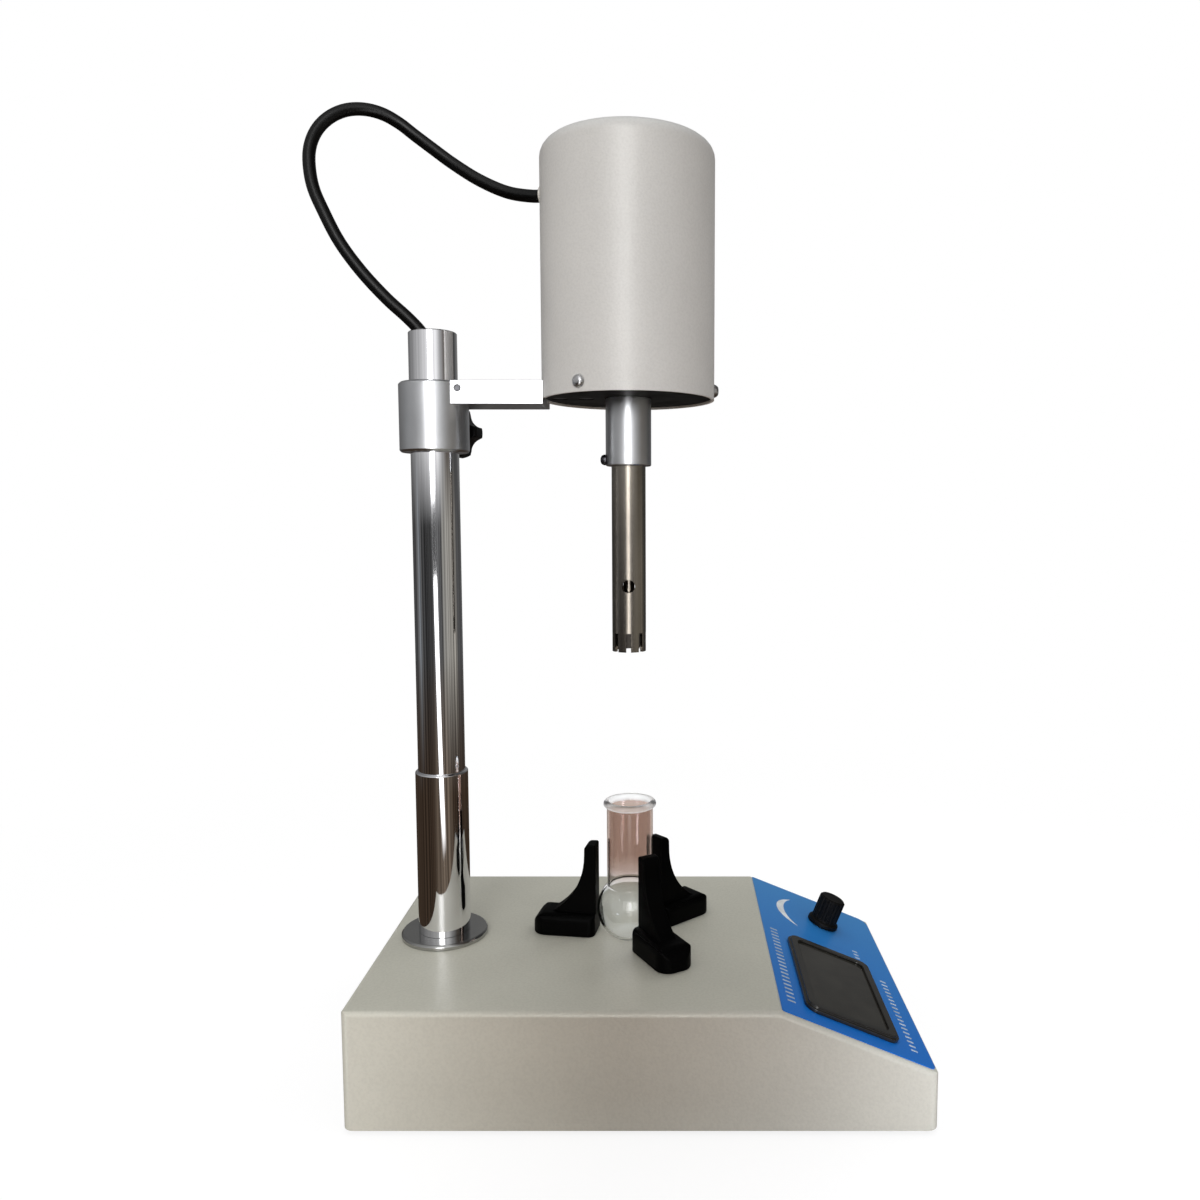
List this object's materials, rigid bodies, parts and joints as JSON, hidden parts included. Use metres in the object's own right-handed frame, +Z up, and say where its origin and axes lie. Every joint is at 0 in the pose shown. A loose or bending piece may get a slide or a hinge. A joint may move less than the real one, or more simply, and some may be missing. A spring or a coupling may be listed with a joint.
{
  "type": "laboratory homogenizer",
  "caption": "Bench stand with a sloped control panel, a column and a sliding motor head that spins a rotor in a slotted tube above a flask held by sliding jaws.",
  "frame": {"origin": "on the bench, under the middle of the base", "axes": "+X along the base towards the control panel, +Y towards the back, +Z up"},
  "size_m": [0.316, 0.17, 0.5058],
  "materials": {
    "hammer_paint": "grey beige hammertone paint",
    "can_paint": "pale grey hammertone paint",
    "zinc_sheet": "dull zinc plated sheet",
    "chrome_tube": "polished chrome",
    "turned_aluminium": "satin turned aluminium",
    "black_aluminium": "black anodised",
    "tool_steel": "brushed stainless steel with a warm tint",
    "screw_steel": "plated steel",
    "lamination_steel": "varnished laminations",
    "copper_winding": "varnished copper wire",
    "brass_part": "plain brass",
    "carbon": "pressed carbon",
    "black_plastic": "matt moulded black plastic",
    "gloss_black": "glossy black plastic",
    "window_plastic": "dark tinted window",
    "white_plastic": "pale moulded plastic",
    "board_green": "solder resist on glass fibre",
    "blue_label": "printed blue film",
    "rubber_black": "soft black rubber",
    "clear_glass": "clear laboratory glass"
  },
  "bodies": {
    "stand": {"base_shell": "hammer_paint", "base_plate": "zinc_sheet", "rubber_feet": "rubber_black", "foot_screws": "screw_steel", "column_flange": "chrome_tube", "column_tube": "chrome_tube", "column_sleeve": "chrome_tube", "column_nut": "screw_steel", "panel_label": "blue_label", "display_bezel": "gloss_black", "display_window": "window_plastic", "display_board": "board_green", "speed_pot": "screw_steel", "control_board": "board_green", "board_standoffs": "brass_part", "power_transformer": "lamination_steel", "mains_inlet": "black_plastic", "inlet_pins": "brass_part", "switch_housing": "black_plastic"},
    "cable_bush": {"column_grommet": "rubber_black"},
    "head": {"clamp_boss": "turned_aluminium", "arm": "turned_aluminium", "arm_pin": "screw_steel", "arm_screws": "screw_steel", "motor_plate": "black_aluminium", "motor_can": "can_paint", "can_screws": "screw_steel", "can_grommet": "white_plastic", "lower_end_bell": "turned_aluminium", "upper_end_bell": "turned_aluminium", "motor_bolts": "screw_steel", "field_stack": "lamination_steel", "field_coils": "copper_winding", "motor_bearings": "screw_steel", "brush_holders": "brass_part", "carbon_brushes": "carbon", "tool_collar": "turned_aluminium", "collar_screw": "screw_steel", "stator_tube": "tool_steel", "tool_bushes": "white_plastic", "motor_cable": "rubber_black"},
    "rotor": {"motor_shaft": "screw_steel", "armature": "lamination_steel", "commutator": "copper_winding", "cooling_fan": "black_plastic", "drive_coupling": "brass_part", "drive_shaft": "tool_steel", "rotor_knife": "tool_steel"},
    "clamp": {"clamp_knob": "black_plastic", "clamp_screw": "screw_steel"},
    "knob": {"speed_knob": "black_plastic", "pot_shaft": "screw_steel"},
    "rocker": {"power_rocker": "gloss_black"},
    "left_jaw": {"jaw_left": "black_plastic", "jaw_left_screw": "screw_steel"},
    "front_jaw": {"jaw_front": "black_plastic", "jaw_front_screw": "screw_steel"},
    "rear_jaw": {"jaw_rear": "black_plastic", "jaw_rear_screw": "screw_steel"},
    "vessel": {"flask": "clear_glass"}
  },
  "joints": [
    {"name": "head_swing", "type": "hinge", "parent": "stand", "child": "cable_bush", "pos_m": [-0.11, 0, 0.34], "axis": [0, 0, 1], "range_deg": [-90, 90]},
    {"name": "head_lift", "type": "slide", "parent": "cable_bush", "child": "head", "axis": [0, 0, 1], "range_m": [-0.15, 0.02], "deforming": ["motor_cable"]},
    {"name": "rotor_spin", "type": "hinge", "parent": "head", "child": "rotor", "pos_m": [-0.008, 0, 0.3], "axis": [0, 0, -1], "continuous": true},
    {"name": "clamp_turn", "type": "hinge", "parent": "head", "child": "clamp", "pos_m": [-0.11, 0, 0.335], "axis": [0.1392, 0.9903, 0], "range_deg": [0, 360]},
    {"name": "speed_turn", "type": "hinge", "parent": "stand", "child": "knob", "pos_m": [0.1053, 0.048, 0.04361], "axis": [-0.3767, 0, -0.9263], "range_deg": [0, 300]},
    {"name": "power_rock", "type": "hinge", "parent": "stand", "child": "rocker", "pos_m": [-0.139, 0.045, 0.032], "axis": [0, -1, 0], "range_deg": [0, 20]},
    {"name": "left_jaw_slide", "type": "slide", "parent": "stand", "child": "left_jaw", "axis": [-0.9903, 0.1392, 0], "range_m": [0, 0.015]},
    {"name": "front_jaw_slide", "type": "slide", "parent": "stand", "child": "front_jaw", "axis": [0.5, -0.866, 0], "range_m": [0, 0.015]},
    {"name": "rear_jaw_slide", "type": "slide", "parent": "stand", "child": "rear_jaw", "axis": [0.7431, 0.6691, 0], "range_m": [0, 0.015]},
    {"name": "flask_lift", "type": "slide", "parent": "stand", "child": "vessel", "axis": [0, 0, 1], "range_m": [0, 0.06]}
  ]
}
